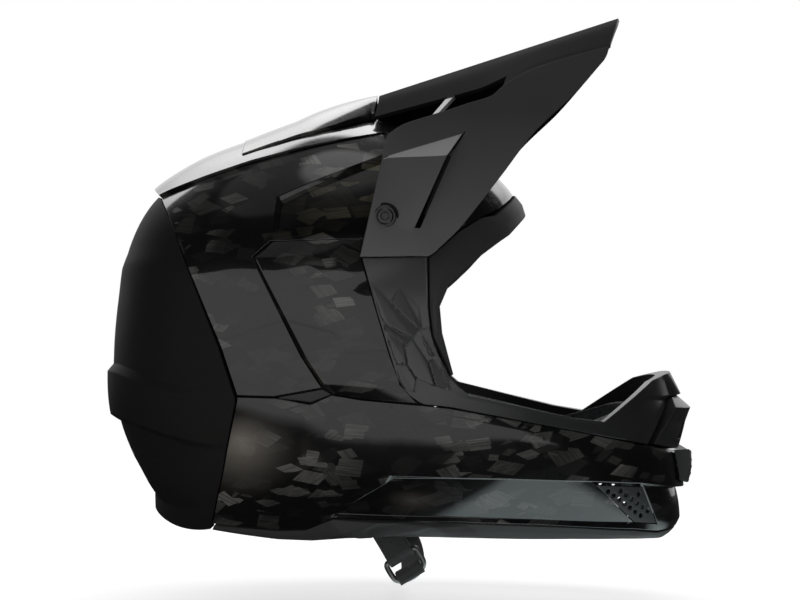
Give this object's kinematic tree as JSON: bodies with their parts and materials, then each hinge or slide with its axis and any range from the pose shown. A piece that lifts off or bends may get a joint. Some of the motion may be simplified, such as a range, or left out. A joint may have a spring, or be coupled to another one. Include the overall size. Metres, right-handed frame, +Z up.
{
  "type": "full-face bike helmet",
  "caption": "Full-face mountain bike helmet with a tilting visor, vented chin bar, foam liner, cloth pads and a D-ring chin strap.",
  "frame": {"origin": "middle of the head space, on the helmet's mid-plane, level with the upper ear", "axes": "+X to the front of the helmet, +Y to the wearer's left, +Z up"},
  "size_m": [0.3559, 0.2434, 0.339],
  "materials": {
    "carbon_gloss": "clear-coated chopped-carbon composite",
    "matte_moulding": "satin",
    "foam": "beaded foam",
    "pad_cloth": "brushed knit",
    "webbing": "woven",
    "dark_steel": "black oxide",
    "steel": "polished"
  },
  "bodies": {
    "shell": {"roof_shell": "carbon_gloss", "roof_spine": "carbon_gloss", "side_shell_left": "carbon_gloss", "side_shell_right": "carbon_gloss", "side_panel_left": "carbon_gloss", "side_panel_right": "carbon_gloss", "side_vent_left": "matte_moulding", "side_vent_right": "matte_moulding", "rear_shell": "matte_moulding", "chin_bar_shell": "carbon_gloss", "face_frame": "matte_moulding", "nose_vent": "matte_moulding", "front_grille": "matte_moulding", "chin_mesh_left": "matte_moulding", "chin_mesh_right": "matte_moulding", "eyeport_trim": "matte_moulding", "lower_rim": "matte_moulding", "head_liner": "foam", "chin_liner": "foam", "jaw_liner_left": "foam", "jaw_liner_right": "foam", "crown_pad": "pad_cloth", "brow_pad": "pad_cloth", "neck_roll": "pad_cloth", "cheek_pad_left": "pad_cloth", "cheek_pad_right": "pad_cloth", "visor_screws": "dark_steel", "visor_inserts": "steel", "strap_rivets": "steel"},
    "visor": {"visor": "matte_moulding", "visor_washers": "dark_steel"},
    "strap": {"strap_plates": "steel", "ring_strap": "webbing", "long_strap": "webbing", "d_rings": "steel"}
  },
  "joints": [
    {"name": "visor_tilt", "type": "hinge", "parent": "shell", "child": "visor", "pos_m": [0.0416, 0, 0.047], "axis": [0, 1, 0], "range_deg": [0, 15]},
    {"name": "strap_swing", "type": "hinge", "parent": "shell", "child": "strap", "pos_m": [0.028, 0, -0.11], "axis": [0, 1, 0], "range_deg": [-12, 31]}
  ]
}
